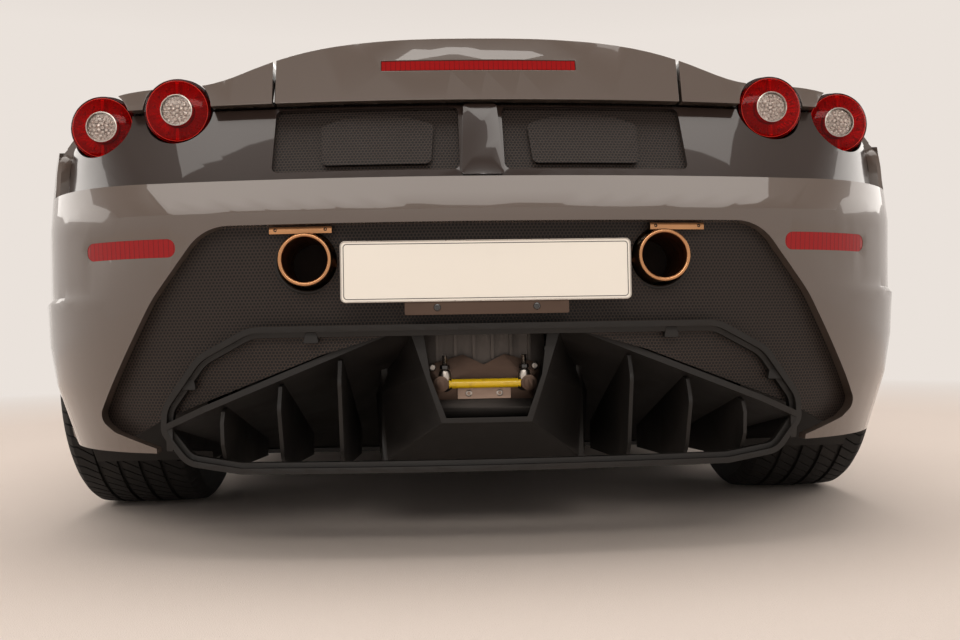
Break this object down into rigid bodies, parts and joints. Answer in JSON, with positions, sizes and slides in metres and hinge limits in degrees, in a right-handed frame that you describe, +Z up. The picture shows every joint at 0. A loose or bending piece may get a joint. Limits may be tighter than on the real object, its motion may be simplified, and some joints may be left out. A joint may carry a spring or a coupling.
{
  "type": "supercar",
  "caption": "Low two-seat mid-engined sports coupe with opening doors and lids, round tail lamps, exhaust tips beside a blank plate, a finned rear diffuser and steered front wheels.",
  "frame": {"origin": "on the ground, midway along and across the car", "axes": "+Z up, +Y from nose to tail, +X to the car's left side"},
  "size_m": [2.064, 4.512, 1.1946],
  "materials": {
    "paint": "gloss warm grey",
    "glass": "tinted clear glass",
    "lamp_clear": "clear cover",
    "lamp_red": "gloss red lens",
    "dark_plastic": "satin dark plastic",
    "dark_mesh": "fine dark mesh",
    "tub_metal": "coated",
    "arm_metal": "cast and brushed",
    "engine_metal": "cast",
    "bright_metal": "brushed",
    "yellow_paint": "gloss yellow",
    "steel": "heat-tinted",
    "plate_white": "gloss white, blank",
    "trim": "soft black",
    "hide": "black hide",
    "tyre": "rubber",
    "rim_metal": "painted silver-grey",
    "disc_metal": "ground disc"
  },
  "bodies": {
    "root": {"front_bumper": "paint", "front_wings": "paint", "roof": "paint", "side_sills": "paint", "rear_quarters": "paint", "rear_bumper": "paint", "windscreen": "glass", "headlamps": "lamp_clear", "tail_lamps": "lamp_red", "rear_reflectors": "lamp_red", "tail_panel": "dark_plastic", "rear_mesh": "dark_mesh", "intake_grilles": "dark_mesh", "diffuser": "dark_plastic", "undertray": "dark_plastic", "arch_liners": "dark_plastic", "front_boot": "dark_plastic", "tub": "tub_metal", "suspension_arms": "arm_metal", "rear_uprights": "arm_metal", "engine": "engine_metal", "gearbox": "engine_metal", "tie_bracket": "bright_metal", "tie_bar": "yellow_paint", "exhaust": "steel", "number_plate": "plate_white", "dashboard": "trim", "seats": "hide"},
    "front_lid": {"front_lid": "paint"},
    "engine_lid": {"engine_lid": "paint", "engine_lid_glass": "glass", "brake_strip": "lamp_red"},
    "door_left": {"door_left": "paint", "door_glass_left": "glass", "mirror_left": "paint"},
    "door_right": {"door_right": "paint", "door_glass_right": "glass", "mirror_right": "paint"},
    "knuckle_left": {"knuckle_left": "arm_metal"},
    "knuckle_right": {"knuckle_right": "arm_metal"},
    "steering_wheel": {"steering_wheel": "hide"},
    "wheel_front_left": {"tyre_front_left": "tyre", "rim_front_left": "rim_metal", "hub_front_left": "disc_metal"},
    "wheel_front_right": {"tyre_front_right": "tyre", "rim_front_right": "rim_metal", "hub_front_right": "disc_metal"},
    "wheel_rear_left": {"tyre_rear_left": "tyre", "rim_rear_left": "rim_metal", "hub_rear_left": "disc_metal"},
    "wheel_rear_right": {"tyre_rear_right": "tyre", "rim_rear_right": "rim_metal", "hub_rear_right": "disc_metal"}
  },
  "joints": [
    {"name": "door_left", "type": "hinge", "parent": "root", "child": "door_left", "pos_m": [0.9465, -0.6975, 0.53], "axis": [0, 0, -1], "range_deg": [0, 60]},
    {"name": "door_right", "type": "hinge", "parent": "root", "child": "door_right", "pos_m": [-0.9465, -0.6975, 0.53], "axis": [0, 0, 1], "range_deg": [0, 60]},
    {"name": "front_lid", "type": "hinge", "parent": "root", "child": "front_lid", "pos_m": [0, -0.905, 0.785], "axis": [-1, 0, 0], "range_deg": [0, 60]},
    {"name": "engine_lid", "type": "hinge", "parent": "root", "child": "engine_lid", "pos_m": [0, 0.494, 1.19], "axis": [1, 0, 0], "range_deg": [0, 50]},
    {"name": "steer_left", "type": "hinge", "parent": "root", "child": "knuckle_left", "pos_m": [0.745, -1.196, 0.323], "axis": [0, 0, 1], "range_deg": [-32, 32]},
    {"name": "steer_right", "type": "hinge", "parent": "root", "child": "knuckle_right", "pos_m": [-0.745, -1.196, 0.323], "axis": [0, 0, 1], "range_deg": [-32, 32]},
    {"name": "steering_wheel", "type": "hinge", "parent": "root", "child": "steering_wheel", "pos_m": [0.37, -0.1835, 0.76], "axis": [0, 0.9272, 0.3746], "range_deg": [-416, 416]},
    {"name": "wheel_front_left", "type": "hinge", "parent": "knuckle_left", "child": "wheel_front_left", "pos_m": [0.834, -1.196, 0.323], "axis": [1, 0, 0], "continuous": true},
    {"name": "wheel_front_right", "type": "hinge", "parent": "knuckle_right", "child": "wheel_front_right", "pos_m": [-0.834, -1.196, 0.323], "axis": [1, 0, 0], "continuous": true},
    {"name": "wheel_rear_left", "type": "hinge", "parent": "root", "child": "wheel_rear_left", "pos_m": [0.808, 1.404, 0.341], "axis": [1, 0, 0], "continuous": true},
    {"name": "wheel_rear_right", "type": "hinge", "parent": "root", "child": "wheel_rear_right", "pos_m": [-0.808, 1.404, 0.341], "axis": [1, 0, 0], "continuous": true}
  ],
  "couplings": [
    {"joint": "steer_right", "follows": "steer_left", "ratio": 1},
    {"joint": "steering_wheel", "follows": "steer_left", "ratio": 13}
  ]
}
